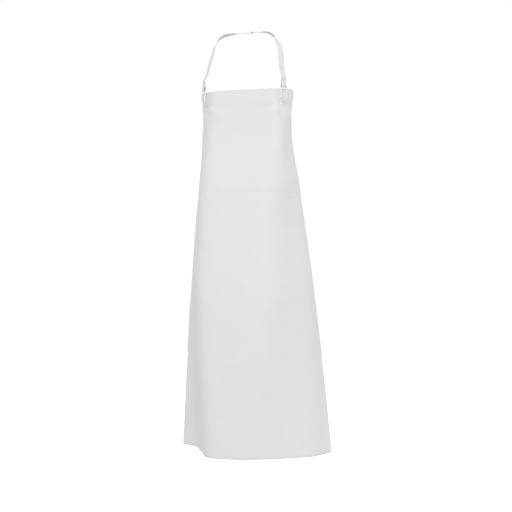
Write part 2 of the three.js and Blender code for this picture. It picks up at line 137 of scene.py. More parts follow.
# a mesh object at the origin; `extra` holds faces that aren't quads, such as end caps
def makePiece(name, points, faces, extra=(), flatMap=None, closed=True):
    mesh = bpy.data.meshes.new(name)
    mesh.from_pydata(points.reshape(-1, 3).tolist(), [], faces.tolist() + [list(f) for f in extra])
    if flatMap is not None:
        layer = mesh.uv_layers.new(name="flatMap")
        corner = np.zeros(len(mesh.loops), np.int32)
        mesh.loops.foreach_get("vertex_index", corner)
        layer.data.foreach_set("uv", flatMap.reshape(-1, 2)[corner].astype(np.float32).ravel())
    if closed:
        work = bmesh.new()
        work.from_mesh(mesh)
        bmesh.ops.recalc_face_normals(work, faces=work.faces)
        work.to_mesh(mesh)
        work.free()
    mesh.polygons.foreach_set("use_smooth", np.ones(len(mesh.polygons), bool))
    mesh.update()
    piece = bpy.data.objects.new(name, mesh)
    bpy.context.scene.collection.objects.link(piece)
    return piece


# angles evenly spaced round a full turn
def fullTurn(count):
    return np.linspace(0, 2 * math.pi, count, endpoint=False)


# how far along a line of points each one lies
def distanceAlong(points):
    return np.concatenate(([0], np.cumsum(np.linalg.norm(np.diff(points, axis=0), axis=1))))


# "right_bib" and "Hook" make "rightBibHook"
def joinedName(name, part):
    side, place = name.split("_")
    return side + place.capitalize() + part


# the figures given at `places`, carried to `at` by a cubic curve whose slopes join each place's neighbours
def throughPlaces(places, figures, at):
    places = np.asarray(places, float)
    figures = np.asarray(figures, float)
    last = len(places) - 1
    before, after = np.maximum(np.arange(last + 1) - 1, 0), np.minimum(np.arange(last + 1) + 1, last)
    gaps = (places[after] - places[before]).reshape(-1, *[1] * (figures.ndim - 1))
    slopes = (figures[after] - figures[before]) / gaps
    at = np.clip(np.asarray(at, float), places[0], places[-1])
    k = np.clip(np.searchsorted(places, at, side="right") - 1, 0, last - 1)
    span = places[k + 1] - places[k]
    u = (at - places[k]) / span
    rise, enter, leave = u * u * (3 - 2 * u), u * (1 - u) ** 2 * span, u * u * (u - 1) * span
    if figures.ndim > 1:
        rise, enter, leave = rise[..., None], enter[..., None], leave[..., None]
    return figures[k] * (1 - rise) + figures[k + 1] * rise + enter * slopes[k] + leave * slopes[k + 1]


# a smooth line through points, at `count` places evenly spaced along it
def throughPoints(points, count):
    points = np.asarray(points, float)
    reach = distanceAlong(points[:, :3])
    return throughPlaces(reach, points, np.linspace(0, reach[-1], count))


# ---- the cloth as it hangs ----
cloth = {
    "length": 1.2,
    "width": 0.8,
    "bibWidth": 0.356,
    "armholeDepth": 0.3,
    "armholeHollow": 2.3,
    "cornerRadius": 0.013,
    "thickness": 0.001,
    "sideHem": 0.008,
    "bibHem": 0.023,
    # how it is bent, at six distances below the bib's top edge: the middle line's place, and on each side
    # `turn` degrees about a bend `bend` wide at `front` from it, then `sideTurn` about `sideBend` at `side`
    "drop": (0.000, 0.150, 0.300, 0.450, 0.700, 1.200),
    "middle": (
        (0.010, -0.109), (0.010, -0.111), (0.019, -0.134),
        (0.020, -0.153), (0.025, -0.180), (-0.001, -0.210),
    ),
    "right": {
        "front": (0.104, 0.127, 0.113, 0.099, 0.094, 0.052),
        "bend": (0.026, 0.056, 0.120, 0.130, 0.150, 0.120),
        "turn": (38, 85, 79, 72, 63, 36),
        "side": (0.150, 0.232, 0.260, 0.278, 0.292, 0.281),
        "sideBend": (0.036, 0.120, 0.130, 0.140, 0.160, 0.140),
        "sideTurn": (-9, 20, 42, 38, 42, 41),
    },
    "left": {
        "front": (0.101, 0.117, 0.135, 0.138, 0.139, 0.074),
        "bend": (0.036, 0.070, 0.120, 0.116, 0.110, 0.110),
        "turn": (37, 55, 61, 61, 60, 61),
        "side": (0.154, 0.231, 0.269, 0.306, 0.326, 0.314),
        "sideBend": (0.036, 0.120, 0.130, 0.126, 0.120, 0.070),
        "sideTurn": (-14, 19, 40, 24, 5, -30),
    },
}
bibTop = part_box("apron_panel")[1].z

eyeletAt = {                  # (across, drop) on the flat cloth
    "right_bib": (0.138, 0.045),
    "left_bib": (-0.146, 0.045),
    "right_waist": (0.370, 0.335),
    "left_waist": (-0.370, 0.335),
}

rumples = {
    "flaredCorner": "left_bib",
    "cornerFlare": 0.002,
    "flareMiddle": 0.028,     # beyond the eyelet's middle
    "flareWidth": 0.036,
    "flareDepth": 0.115,      # it is gone this far down
    "creaseHeight": 0.0016,   # folds that fan out from a bib eyelet
    "creaseReach": 0.034,
    "creaseCount": 5,
    "creaseBelow": 0.008,     # they come in here below the eyelet's middle
    "creaseFade": 0.024,
    "stillRadius": 0.016,     # the eyelet holds the cloth flat this far out
    "foldHeight": 0.0018,     # long folds down the skirt
    "folds": (                # each one's share, wave length, slant and start
        (0.6, 0.23, 0.31, 0.7),
        (0.4, 0.137, -0.22, 2.1),
    ),
    "packHeight": 0.0005,     # creases from the packet
    "packWidth": 0.004,
    "packAcross": -0.004,
    "packDrops": (0.34, 0.62, 0.91),
    "edgeRoll": 0.0012,
    "edgeRollWidth": 0.008,
    "weldDepth": 0.00035,
    "weldWidth": 0.0008,
}


# half the flat width: the bib's at the top, out along the armhole as the share of its depth to a power,
# less a quarter circle at the bib's corner
def halfWidth(drop):
    share = np.clip(drop / cloth["armholeDepth"], 0, 1)
    half = (cloth["bibWidth"] + (cloth["width"] - cloth["bibWidth"]) * share ** cloth["armholeHollow"]) / 2
    radius = cloth["cornerRadius"]
    rest = np.clip(1 - drop / radius, 0, 1)
    return half - radius * (1 - np.sqrt(1 - rest * rest))


# a point of the hung cloth: the middle line's place, plus the sums of cos and sin of the heading on the
# way to `across`, where the heading turns smoothly about the two bends of that side
def hungPoint(across, drop):
    across, drop = np.broadcast_arrays(np.asarray(across, float), np.asarray(drop, float))
    figures = {}
    for key in cloth["right"]:
        right = throughPlaces(cloth["drop"], cloth["right"][key], drop)
        left = throughPlaces(cloth["drop"], cloth["left"][key], drop)
        figures[key] = np.where(across > 0, right, left)
    steps = 60
    step = np.abs(across) / steps
    sumCos, sumSin = np.zeros(across.shape), np.zeros(across.shape)
    for k in range(steps):
        s = (k + 0.5) * step
        heading = figures["turn"] * eased(s, figures["front"], figures["bend"])
        heading = np.radians(heading + figures["sideTurn"] * eased(s, figures["side"], figures["sideBend"]))
        sumCos += np.cos(heading) * step
        sumSin += np.sin(heading) * step
    middle = throughPlaces(cloth["drop"], cloth["middle"], drop)
    x = middle[..., 0] + sumCos * np.sign(across)
    return np.stack((x, middle[..., 1] + sumSin, bibTop - drop), -1)


# the hung cloth's own directions: along it, outwards from the wearer, and up it
def hungFrame(across, drop):
    reach = 0.0005
    origin = hungPoint(across, drop)
    along = unit(hungPoint(across + reach, drop) - hungPoint(across - reach, drop))
    up = hungPoint(across, drop - reach) - hungPoint(across, drop + reach)
    out = unit(np.cross(along, up))
    return origin, along, out, unit(np.cross(out, along))


# how far the cloth stands out of its smooth drape: a flared corner, fanned creases, long folds, packing
# creases, the rolled edge and the weld lines, added up
def rumple(across, drop):
    fromSide = halfWidth(drop) - np.abs(across)
    fromHem = cloth["length"] - drop
    still = np.ones(np.shape(across))
    shift = np.zeros(np.shape(across))
    for name, (eyeAcross, eyeDrop) in eyeletAt.items():
        side = math.copysign(1, eyeAcross)
        radius = np.hypot(across - eyeAcross, drop - eyeDrop)
        still = still * eased(radius, 1.6 * rumples["stillRadius"], 1.2 * rumples["stillRadius"])
        if not name.endswith("bib"):
            continue
        if name == rumples["flaredCorner"]:
            beyond = eased(across * side - abs(eyeAcross), rumples["flareMiddle"], rumples["flareWidth"])
            fade = np.clip(1 - drop / rumples["flareDepth"], 0, 1) ** 1.5
            shift = shift + rumples["cornerFlare"] * beyond * fade
        turn = np.arctan2(drop - eyeDrop, (across - eyeAcross) * side)
        reach = radius / rumples["creaseReach"]
        fan = reach * np.exp(1 - reach) * np.sin(rumples["creaseCount"] * turn + 0.9 + 1.7 * (side > 0))
        # they run down and outwards; above the eyelet the cloth is slack and lies clear of the hook
        fan = fan * eased(drop - eyeDrop, rumples["creaseBelow"], rumples["creaseFade"])
        shift = shift + rumples["creaseHeight"] * fan
    down = drop / cloth["length"]
    folds = 0
    for share, length, slant, start in rumples["folds"]:
        folds = folds + share * np.sin(2 * math.pi * (across / length + slant * down) + start)
    shift = shift + rumples["foldHeight"] * folds * eased(down, 0.7, 1.1)
    upright = bell(across, rumples["packAcross"], rumples["packWidth"])
    shift = shift + rumples["packHeight"] * upright * eased(down, 0.5, 0.6)
    for packed in rumples["packDrops"]:
        shift = shift - rumples["packHeight"] * bell(drop, packed, rumples["packWidth"])
    for distance in (fromSide, fromHem):
        roll = np.clip(1 - distance / rumples["edgeRollWidth"], 0, 1) ** 2
        shift = shift - rumples["edgeRoll"] * roll
        shift = shift - rumples["weldDepth"] * bell(distance, cloth["sideHem"], rumples["weldWidth"])
    inBib = eased(fromSide, 0.004, 0.003)
    shift = shift - rumples["weldDepth"] * bell(drop, cloth["bibHem"], rumples["weldWidth"]) * inBib
    return shift * still


# a point of the rumpled cloth, `offset` outwards from the cloth's middle
def clothPoint(across, drop, offset):
    origin, _, out, _ = hungFrame(across, drop)
    return origin + out * (rumple(across, drop) + offset)[..., None]


# a closed slab of cloth over a grid of flat places, between two offsets, with rounded long edges
def clothStrip(name, across, drop, outer, inner):
    middle, half = (outer + inner) / 2, (outer - inner) / 2
    turns = np.radians(np.array((-90, -45, 0, 45, 90)))
    rows, cols = across.shape
    edgeIn = across[:, :1] + (across[:, 1:2] - across[:, :1]) * 0.25 * (1 + np.cos(turns))
    edgeOut = across[:, -1:] + (across[:, -2:-1] - across[:, -1:]) * 0.25 * (1 + np.cos(turns))
    front = np.concatenate((edgeIn[:, :1], across[:, 1:-1], edgeOut[:, :1]), 1)
    flatAcross = np.concatenate((front, across[:, -1:], front[:, ::-1], across[:, :1]), 1)
    flatDrop = np.broadcast_to(drop[:, :1], flatAcross.shape)
    ones = np.ones((rows, cols))
    flat = np.zeros((rows, 1))
    offset = np.concatenate((ones * half, flat, -ones * half, flat), 1) + middle
    points = clothPoint(flatAcross, flatDrop, offset)
    width = flatAcross.shape[1]
    faces = gridFaces(rows, width, wrapCols=True)
    ends = (range(width), range((rows - 1) * width, rows * width))
    return makePiece(name, points, faces, ends, np.stack((flatAcross, -flatDrop), -1))


# ---- materials ----
def linearColour(hexText):
    parts = [int(hexText[k:k + 2], 16) / 255 for k in (1, 3, 5)]
    return (*[p / 12.92 if p <= 0.04045 else ((p + 0.055) / 1.055) ** 2.4 for p in parts], 1.0)


# adds one node: its settings, its fixed inputs, and the sockets that feed it
def addNode(tree, kind, fixed=None, fed=None, **settings):
    node = tree.nodes.new("ShaderNode" + kind)
    for key, value in settings.items():
        setattr(node, key, value)
    for key, value in (fixed or {}).items():
        node.inputs[key].default_value = value
    for key, socket in (fed or {}).items():
        tree.links.new(socket, node.inputs[key])
    return node


def newMaterial(name, **fixed):
    material = bpy.data.materials.new(name)
    material.use_nodes = True
    tree = material.node_tree
    shader = next(n for n in tree.nodes if n.type == "BSDF_PRINCIPLED")
    for key, value in fixed.items():
        shader.inputs[key].default_value = value
    return material, tree, shader


def maths(tree, operation, a, b=0.0, c=0.0):
    node = addNode(tree, "Math", operation=operation)
    for k, value in enumerate((a, b, c)):
        if isinstance(value, (int, float)):
            node.inputs[k].default_value = value
        else:
            tree.links.new(value, node.inputs[k])
    return node.outputs[0]


# the colour between two, by a noise `size` metres across
def mottled(tree, place, size, low, high, detail=3.0):
    noise = addNode(tree, "TexNoise", {"Scale": 1 / size, "Detail": detail}, {"Vector": place})
    share = addNode(tree, "MapRange", {"From Min": 0.3, "From Max": 0.7}, {"Value": noise.outputs["Fac"]})
    mix = addNode(tree, "Mix", data_type="RGBA")
    tree.links.new(share.outputs[0], mix.inputs[0])
    mix.inputs[6].default_value = linearColour(low)
    mix.inputs[7].default_value = linearColour(high)
    return noise.outputs["Fac"], mix.outputs[2]


coating = {
    "low": "#e9e9e9",
    "high": "#ebebeb",
    "blotch": 0.045,
    "rough": (0.56, 0.66),
    "threadSpacing": 0.0011,  # the base cloth is 0.5 mm; drawn twice as coarse, to show in a close view
    "threadDepth": 0.00003,
    "grain": 0.0035,
    "grainDepth": 0.00006,
    "weldPitch": 0.0016,
    "weldDepth": 0.00012,
}


# plasticised PVC on woven polyester, calendered: white, satin, with the base cloth just showing through
# and a fine knurl where the hems are welded
def coatedCloth():
    material, tree, shader = newMaterial("pvcCoatedPolyester", IOR=1.53)
    flat = addNode(tree, "UVMap", uv_map="flatMap").outputs[0]
    fac, colour = mottled(tree, flat, coating["blotch"], coating["low"], coating["high"])
    tree.links.new(colour, shader.inputs["Base Color"])
    rough = addNode(tree, "MapRange", {"From Min": 0.3, "From Max": 0.7, "To Min": coating["rough"][0],
                                       "To Max": coating["rough"][1]}, {"Value": fac})
    tree.links.new(rough.outputs[0], shader.inputs["Roughness"])
    axes = addNode(tree, "SeparateXYZ", fed={0: flat}).outputs
    turn = 2 * math.pi / coating["threadSpacing"]
    warp = maths(tree, "SINE", maths(tree, "MULTIPLY", axes[0], turn))
    weft = maths(tree, "SINE", maths(tree, "MULTIPLY", axes[1], turn))
    weave = addNode(tree, "Bump", {"Strength": 0.6, "Distance": coating["threadDepth"]},
                    {"Height": maths(tree, "MULTIPLY", warp, weft)})
    grain = addNode(tree, "TexNoise", {"Scale": 1 / coating["grain"], "Detail": 4.0}, {"Vector": flat})
    skin = addNode(tree, "Bump", {"Strength": 0.7, "Distance": coating["grainDepth"]},
                   {"Height": grain.outputs["Fac"], "Normal": weave.outputs[0]})
    hem = addNode(tree, "Attribute", attribute_name="fromEdge").outputs["Fac"]
    slant = maths(tree, "MULTIPLY", maths(tree, "ADD", axes[0], axes[1]), 2 * math.pi / coating["weldPitch"])
    middle, reach = 0.55 * cloth["sideHem"], 0.32 * cloth["sideHem"]
    knurl = maths(tree, "MULTIPLY", maths(tree, "SINE", slant), maths(tree, "COMPARE", hem, middle, reach))
    weld = addNode(tree, "Bump", {"Strength": 0.8, "Distance": coating["weldDepth"]},
                   {"Height": knurl, "Normal": skin.outputs[0]})
    tree.links.new(weld.outputs[0], shader.inputs["Normal"])
    return material


tape = {
    "low": "#e4e4e3",
    "high": "#eeeeed",
    "yarn": 0.0017,           # ribs along the tape; real ones are 1.2 mm, drawn a little coarser
    "pick": 0.0024,
    "pickShare": 0.6,         # how high a pick stands beside a rib
    "depth": 0.00022,
    "blotch": 0.012,
    "fuzz": 0.0006,
    "fuzzDepth": 0.0001,
    "paintedRibShade": 0.12,            # painted shade: how much darker the tape's colour is painted between its ribs
}


# spun polyester tape, woven in a herringbone: matt, ribbed along its length, with slanting picks, and
# painted shade that darkens its colour between the ribs
def wovenTape():
    material, tree, shader = newMaterial("polyesterTape", Roughness=0.85, IOR=1.5)
    shader.inputs["Sheen Weight"].default_value = 0.15
    shader.inputs["Sheen Roughness"].default_value = 0.4
    flat = addNode(tree, "UVMap", uv_map="flatMap").outputs[0]
    axes = addNode(tree, "SeparateXYZ", fed={0: flat}).outputs
    rib = maths(tree, "SINE", maths(tree, "MULTIPLY", axes[0], 2 * math.pi / tape["yarn"]))
    slope = maths(tree, "PINGPONG", maths(tree, "ABSOLUTE", axes[0]), 2 * tape["yarn"])
    slanted = maths(tree, "ADD", axes[1], slope)
    pick = maths(tree, "SINE", maths(tree, "MULTIPLY", slanted, 2 * math.pi / tape["pick"]))
    weave = maths(tree, "MULTIPLY_ADD", pick, tape["pickShare"], rib)
    most = 1 + tape["pickShare"]
    height = addNode(tree, "MapRange", {"From Min": -most, "From Max": most}, {"Value": weave}).outputs[0]
    _, colour = mottled(tree, flat, tape["blotch"], tape["low"], tape["high"])
    # painted shade: the colour is multiplied darker where the weave's height is low, between the ribs
    paintedRibShade = addNode(tree, "Mix", data_type="RGBA", blend_type="MULTIPLY")
    paintedRibShade.inputs[0].default_value = tape["paintedRibShade"]
    tree.links.new(colour, paintedRibShade.inputs[6])
    tree.links.new(height, paintedRibShade.inputs[7])
    tree.links.new(paintedRibShade.outputs[2], shader.inputs["Base Color"])
    woven = addNode(tree, "Bump", {"Strength": 0.8, "Distance": tape["depth"]}, {"Height": height})
    fuzz = addNode(tree, "TexNoise", {"Scale": 1 / tape["fuzz"], "Detail": 2.0}, {"Vector": flat})
    soft = addNode(tree, "Bump", {"Strength": 0.3, "Distance": tape["fuzzDepth"]},
                   {"Height": fuzz.outputs["Fac"], "Normal": woven.outputs[0]})
    tree.links.new(soft.outputs[0], shader.inputs["Normal"])
    return material


plastic = {
    "blotch": 0.011,
    "glow": 0.002,            # how far light spreads inside it
    "grain": 0.0011,
    "grainDepth": 0.00004,
}


# injection-moulded acetal: dense white, with the soft gloss and faint flow marks of a polished mould
def mouldedPlastic(name, low, high, roughness):
    material, tree, shader = newMaterial(name, Roughness=roughness, IOR=1.48)
    shader.inputs["Subsurface Weight"].default_value = 0.08
    shader.inputs["Subsurface Radius"].default_value = (plastic["glow"],) * 3
    place = addNode(tree, "TexCoord").outputs["Object"]
    _, colour = mottled(tree, place, plastic["blotch"], low, high, 2.0)
    tree.links.new(colour, shader.inputs["Base Color"])
    skin = addNode(tree, "TexNoise", {"Scale": 1 / plastic["grain"], "Detail": 3.0}, {"Vector": place})
    bump = addNode(tree, "Bump", {"Strength": 0.35, "Distance": plastic["grainDepth"]},
                   {"Height": skin.outputs["Fac"]})
    tree.links.new(bump.outputs[0], shader.inputs["Normal"])
    return material


thread = {
    "low": "#e2e2e1",
    "high": "#f1f1f0",
    "blotch": 0.004,
    "plies": 900.0,
    "plyDepth": 0.00008,
}


# twisted polyester sewing thread: bright, with slanting plies
def sewingThread():
    material, tree, shader = newMaterial("polyesterThread", Roughness=0.6, IOR=1.5)
    place = addNode(tree, "TexCoord").outputs["Object"]
    ply = addNode(tree, "TexWave", {"Scale": thread["plies"], "Distortion": 0.4}, {"Vector": place},
                  bands_direction="DIAGONAL")
    _, colour = mottled(tree, place, thread["blotch"], thread["low"], thread["high"])
    tree.links.new(colour, shader.inputs["Base Color"])
    bump = addNode(tree, "Bump", {"Strength": 0.5, "Distance": thread["plyDepth"]},
                   {"Height": ply.outputs["Fac"]})
    tree.links.new(bump.outputs[0], shader.inputs["Normal"])
    return material


clothLook = coatedCloth()
tapeLook = wovenTape()
hookLook = mouldedPlastic("acetalHook", "#ededec", "#f6f6f5", 0.3)
eyeletLook = mouldedPlastic("polypropyleneEyelet", "#e8e8e7", "#f2f2f1", 0.36)
threadLook = sewingThread()
print("materials made")


# gives a finished piece its body and its look, and hides the nodes that it stands for. The slot argument is
# not used.
def finishPiece(piece, body, look, slot, *nodes):
    piece.data.materials.clear()
    piece.data.materials.append(look)
    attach(piece, body)
    if nodes:
        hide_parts(*nodes)
    return piece


# ---- the panel ----
panelCells = {
    "acrossCells": 150,
    "rowRuns": (              # drop from, drop to, step
        (0.0155, 0.021, 0.0025),
        (0.027, 0.09, 0.0025),
        (0.09, 0.32, 0.005),
        (0.32, 0.35, 0.0025),
        (0.35, 0.42, 0.005),
    ),
    "skirtStart": 0.42,
    "skirtEnd": 0.012,
    "skirtRows": 98,
    "edgeLines": (0, 0.0007, 0.0018, 0.0035, 0.0052, 0.0066, 0.0074, 0.008, 0.0086, 0.0094, 0.011),
    "eyeletRadius": 0.0076,
    "eyeletCut": 0.0064,
}


# how far down each row of the grid lies: close together at the corner, the welds and the eyelets
def rowDrops():
    length, band = cloth["length"], cloth["bibHem"]
    corner = cloth["cornerRadius"] * (1 - np.cos(np.linspace(0, math.pi / 2, 9)))
    edges = np.array(panelCells["edgeLines"])
    skirt = (panelCells["skirtStart"], length - panelCells["skirtEnd"])
    runs = [
        corner,
        *[np.arange(*run) for run in panelCells["rowRuns"]],
        band + np.linspace(-2, 2, 5) * rumples["weldWidth"],
        np.linspace(*skirt, panelCells["skirtRows"]),
        length - edges[::-1],
    ]
    return np.unique(np.round(np.concatenate(runs), 6))


def panelGrid():
    drops = rowDrops()
    edges = np.array(panelCells["edgeLines"])
    inner = np.linspace(-1, 1, panelCells["acrossCells"] + 1)[1:-1]
    half = halfWidth(drops)[:, None]
    room = half - edges[-1]
    across = np.concatenate((-half + edges, room * inner, half - edges[::-1]), 1)
    return across, np.broadcast_to(drops[:, None], across.shape).copy()


# marks the cells over each eyelet's hole, and moves the corners round it onto a circle
def cutEyelets(across, drop):
    middleAcross = (across[:-1, :-1] + across[1:, 1:]) / 2
    middleDrop = (drop[:-1, :-1] + drop[1:, 1:]) / 2
    gone = np.zeros(middleAcross.shape, bool)
    for eyeAcross, eyeDrop in eyeletAt.values():
        hole = np.hypot(middleAcross - eyeAcross, middleDrop - eyeDrop) < panelCells["eyeletCut"]
        gone |= hole
        touched = np.zeros(across.shape, bool)
        full = np.ones(across.shape, bool)
        for dj in (0, 1):
            for di in (0, 1):
                part = (slice(dj, dj + hole.shape[0]), slice(di, di + hole.shape[1]))
                touched[part] |= hole
                full[part] &= hole
        rim = touched & ~full
        dx, dy = across[rim] - eyeAcross, drop[rim] - eyeDrop
        stretch = panelCells["eyeletRadius"] / np.hypot(dx, dy)
        across[rim], drop[rim] = eyeAcross + dx * stretch, eyeDrop + dy * stretch
    return gone


# gives a single layer its thickness, behind the face that it has
def thicken(piece, thickness):
    wall = piece.modifiers.new("clothThickness", "SOLIDIFY")
    wall.thickness = thickness
    wall.offset = -1


def makePanel():
    across, drop = panelGrid()
    gone = cutEyelets(across, drop)
    points = clothPoint(across, drop, cloth["thickness"] / 2).reshape(-1, 3)
    faces = gridFaces(*across.shape)[~gone.ravel()]
    used = np.unique(faces)
    number = np.zeros(across.size, np.int64)
    number[used] = np.arange(used.size)
    flat = np.stack((across, -drop), -1).reshape(-1, 2)
    fromEdge = np.minimum(halfWidth(drop) - np.abs(across), cloth["length"] - drop).ravel()
    order = number[faces][:, ::-1]
    panel = makePiece("apronPanel", points[used], order, (), flat[used], closed=False)
    panel.data.attributes.new("fromEdge", "FLOAT", "POINT").data.foreach_set(
        "value", fromEdge[used].astype(np.float32))
    thicken(panel, cloth["thickness"])
    return finishPiece(panel, "apron", clothLook, "coated_fabric", "apron_panel")


panel = makePanel()
print("panel made,", len(panel.data.polygons), "faces")

# ---- hems and patches behind the panel ----
backing = {
    "outer": -0.0010,
    "inner": -0.0018,
    "hemOuter": -0.0007,
    "hemInner": -0.0015,
    "bandStart": 0.001,
    "bandInset": 0.003,
    "patchHalf": 0.018,
    "patchGap": 0.0015,
    "patchInset": 0.005,
    "eyeletRoom": 0.0098,
    "pushStart": 0.0076,      # the patch's cloth is pushed out to here round the barrel,
    "pushReach": 0.0103,      # and lies as cut from here on
    "cellCut": 0.0012,
    "stepIn": 0.00085,        # over the side hem
    "stepGap": 0.0008,
    "stepWidth": 0.0016,
    "hemMargin": 0.0002,
}


def hemStrip(name, across, drops, outer, inner):
    drop = np.broadcast_to(drops[:, None], across.shape)
    return finishPiece(clothStrip(name, across, drop, outer, inner), "apron", clothLook, "coated_fabric")


def bandAlong(name, drops, inset, outer, inner):
    half = halfWidth(drops)[:, None] - inset
    across = half * np.linspace(-1, 1, 181)
    return hemStrip(name, across, drops, outer, inner)


def sideHem(name, side):
    drops = np.linspace(cloth["bibHem"] + 0.0015, cloth["length"] - cloth["sideHem"] - 0.001, 231)
    fromEdge = np.linspace(backing["hemMargin"], cloth["sideHem"], 7)
    across = side * (halfWidth(drops)[:, None] - fromEdge)
    return hemStrip(name, across, drops, backing["hemOuter"], backing["hemInner"])


# a patch lies on the side hem where it reaches it, so it steps inwards there
def eyeletPatch(name):
    eyeAcross, eyeDrop = eyeletAt[name]
    side = math.copysign(1, eyeAcross)
    top = max(eyeDrop - backing["patchHalf"], cloth["bibHem"] + backing["patchGap"])
    drops = np.linspace(top, eyeDrop + backing["patchHalf"], 49)
    near = abs(eyeAcross) - backing["eyeletRoom"]
    far = halfWidth(np.array(top)) - backing["patchInset"]
    across = side * np.broadcast_to(np.linspace(near, far, 61), (49, 61))
    drop = np.broadcast_to(drops[:, None], across.shape)
    return across, drop


bibBand = bandAlong("bibHemBand", np.linspace(backing["bandStart"], cloth["bibHem"], 13),
                    backing["bandInset"], backing["outer"], backing["inner"])
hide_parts("bib_hem_band")
hemDrops = cloth["length"] - np.linspace(cloth["sideHem"], backing["hemMargin"], 7)
bottomHem = bandAlong("bottomHem", hemDrops, backing["hemMargin"], backing["hemOuter"], backing["hemInner"])
hems = [bibBand, bottomHem, sideHem("rightSideHem", 1), sideHem("leftSideHem", -1)]
print("hems made")


def makePatch(name):
    across, drop = eyeletPatch(name)
    eyeAcross, eyeDrop = eyeletAt[name]
    dx, dy = across - eyeAcross, drop - eyeDrop
    radius = np.maximum(np.hypot(dx, dy), 1e-5)
    # the cloth is pushed out of the eyelet's barrel, less and less with distance
    pushed = radius + backing["pushStart"] * np.clip(1 - radius / backing["pushReach"], 0, 1)
    across, drop = eyeAcross + dx / radius * pushed, eyeDrop + dy / radius * pushed
    fromSide = halfWidth(drop) - np.abs(across)
    step = eased(fromSide, cloth["sideHem"] + backing["stepGap"], backing["stepWidth"]) - 1
    faces = gridFaces(*across.shape)
    middle = radius.ravel()[faces].mean(-1) > backing["cellCut"]
    points = clothPoint(across, drop, backing["outer"] + backing["stepIn"] * step)
    flat = np.stack((across, -drop), -1)
    order = faces[middle] if eyeAcross < 0 else faces[middle][:, ::-1]
    patch = makePiece(joinedName(name, "Patch"), points, order, (), flat, closed=False)
    thicken(patch, backing["outer"] - backing["inner"])
    return finishPiece(patch, "apron", clothLook, "coated_fabric", name + "_patch")


patches = [makePatch(name) for name in eyeletAt]
print("patches made")

# ---- eyelets: a flanged barrel from the front, closed on a washer behind ----
eyelet = {
    "hole": 0.006,
    "barrel": 0.007,
    "flange": 0.0095,
    "flangeSeat": 0.0008,
    "flangeTop": 0.0022,
    "washerBore": 0.0073,
    "washerFront": -0.0021,
    "washerBack": -0.0031,
    "lip": 0.0079,
    "lipFront": -0.0034,
    "lipBack": -0.0041,
    "round": 0.0006,
    "bevel": 0.0012,
}


# a closed outline with each corner rounded by a parabola that leaves and meets its sides `reach` away
def rounded(corners, reach):
    corners = np.asarray(corners, float)
    before, after = np.roll(corners, 1, 0) - corners, np.roll(corners, -1, 0) - corners
    room = np.minimum(np.linalg.norm(before, axis=1), np.linalg.norm(after, axis=1)) * 0.45
    cut = np.minimum(reach, room)[:, None]
    start, end = corners + unit(before) * cut, corners + unit(after) * cut
    u = np.linspace(0, 1, 5)[:, None, None]
    curve = start * (1 - u) ** 2 + 2 * corners * u * (1 - u) + end * u * u
    return curve.transpose(1, 0, 2).reshape(-1, 2)


# the eyelet's own frame on the smooth cloth, as the CAD has it
def eyeletFrame(name):
    return [np.asarray(v, float) for v in hungFrame(*[np.float64(x) for x in eyeletAt[name]])]


# a ring turned about the eyelet's axis, from an outline of (radius, distance outwards)
def turned(name, outline, frame, sides=72):
    origin, along, out, up = frame
    angle = fullTurn(sides)[:, None, None]
    radial = along * np.cos(angle) + up * np.sin(angle)
    points = origin + radial * outline[None, :, 0:1] + out * outline[None, :, 1:2]
    return makePiece(name, points, gridFaces(sides, len(outline), True, True))


def makeEyelet(name):
    e = eyelet
    barrel = rounded([
        (e["hole"], e["lipBack"]), (e["lip"], e["lipBack"]), (e["lip"], e["lipFront"]),
        (e["barrel"], e["lipFront"]), (e["barrel"], e["flangeSeat"]), (e["flange"], e["flangeSeat"]),
        (e["flange"], 0.5 * (e["flangeSeat"] + e["flangeTop"])), (e["flange"] - e["bevel"], e["flangeTop"]),
        (e["hole"], e["flangeTop"]),
    ], e["round"])
    washer = rounded([
        (e["washerBore"], e["washerBack"]), (e["flange"], e["washerBack"]),
        (e["flange"], e["washerFront"]), (e["washerBore"], e["washerFront"]),
    ], 0.4 * e["round"])
    frameHere = eyeletFrame(name)
    front = turned(joinedName(name, "Eyelet"), barrel, frameHere)
    back = turned(joinedName(name, "Washer"), washer, frameHere)
    finishPiece(front, "apron", eyeletLook, "white_plastic", name + "_eyelet")
    finishPiece(back, "apron", eyeletLook, "white_plastic", name + "_washer")


for name in eyeletAt:
    makeEyelet(name)
print("eyelets made")

# ---- hooks ----
hook = {
    "reach": 0.052,           # from the eyelet's middle to the bar
    "standOff": 0.010,
    "bow": 0.004,
    "railMiddle": 0.0112,
    "railWidth": 0.0030,
    "thickness": 0.0034,
    "noseWidth": 0.0068,
    "barRadius": 0.0023,
    "noseLift": 0.00225,
    "noseBehind": 0.0085,
    "noseReturn": 0.0122,
    "sill": 0.018,
    "sillDip": 0.003,
    "webThickness": 0.0020,
    "voxel": 0.00035,
    "smoothing": 4,
    "spreadMiddle": 0.0095,   # how far up the two rails part
    "spreadWidth": 0.020,
}


# the shank's line down from the bar and the nose's line on through the eyelet, as (out, up) places
def hookLines():
    off, reach, bow = hook["standOff"], hook["reach"], hook["bow"]
    lift, behind = hook["noseLift"], hook["noseBehind"]
    shank = (
        (off, reach + 0.0008), (off + 0.0005, 0.8 * reach), (off + bow, 0.5 * reach),
        (off + 0.8 * bow, 0.26 * reach), (0.82 * off, 0.09 * reach), (0.45 * off, lift + 0.0001),
        (0.0005, lift),
    )
    nose = (
        (0.6 * off, lift + 0.0007), (0.35 * off, lift), (-0.55 * behind, lift),
        (-0.92 * behind, lift + 0.002), (-behind, 0.5 * hook["noseReturn"]), (-behind, hook["noseReturn"]),
    )
    return shank, nose


# the hook's own directions: across it, outwards from the wearer, and up to its bar; a waist hook lies
# on its side, with its bar beyond the cloth's side edge
def hookFrame(name):
    origin, along, out, up = eyeletFrame(name)
    if name.endswith("bib"):
        return origin, along, out, up
    edge = along * math.copysign(1, eyeletAt[name][0])
    return origin, np.cross(-out, edge), out, edge


